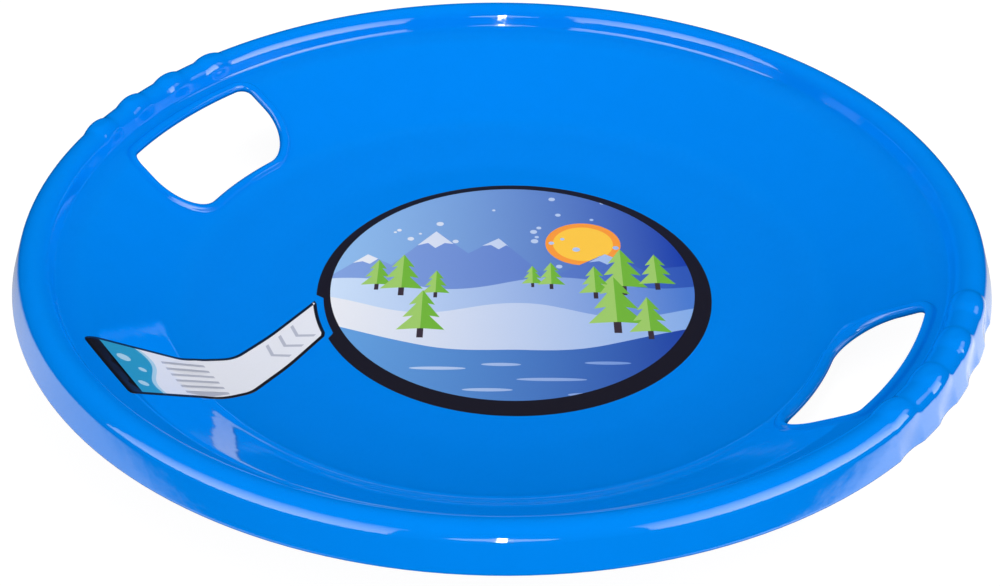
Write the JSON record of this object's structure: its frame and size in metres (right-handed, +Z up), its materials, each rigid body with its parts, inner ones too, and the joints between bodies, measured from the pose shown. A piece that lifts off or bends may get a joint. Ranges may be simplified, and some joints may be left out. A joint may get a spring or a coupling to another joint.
{
  "type": "saucer sled",
  "caption": "Round moulded saucer sled with a sloping wall, a rolled rim with finger ridges and lipped hand holes; a rider sits in the shallow bowl.",
  "frame": {"origin": "centre of the flat underside, where the sled rests on the ground", "axes": "+Z up out of the bowl; X through the middles of the hand holes; the stick label is on the -X -Y side"},
  "size_m": [0.59, 0.59, 0.0713],
  "materials": {
    "blue_plastic": "glossy moulded polypropylene",
    "round_print": "satin printed film",
    "label_print": "satin printed film"
  },
  "bodies": {
    "root": {"dish": "blue_plastic", "round_sticker": "round_print", "stick_label": "label_print"}
  },
  "joints": []
}
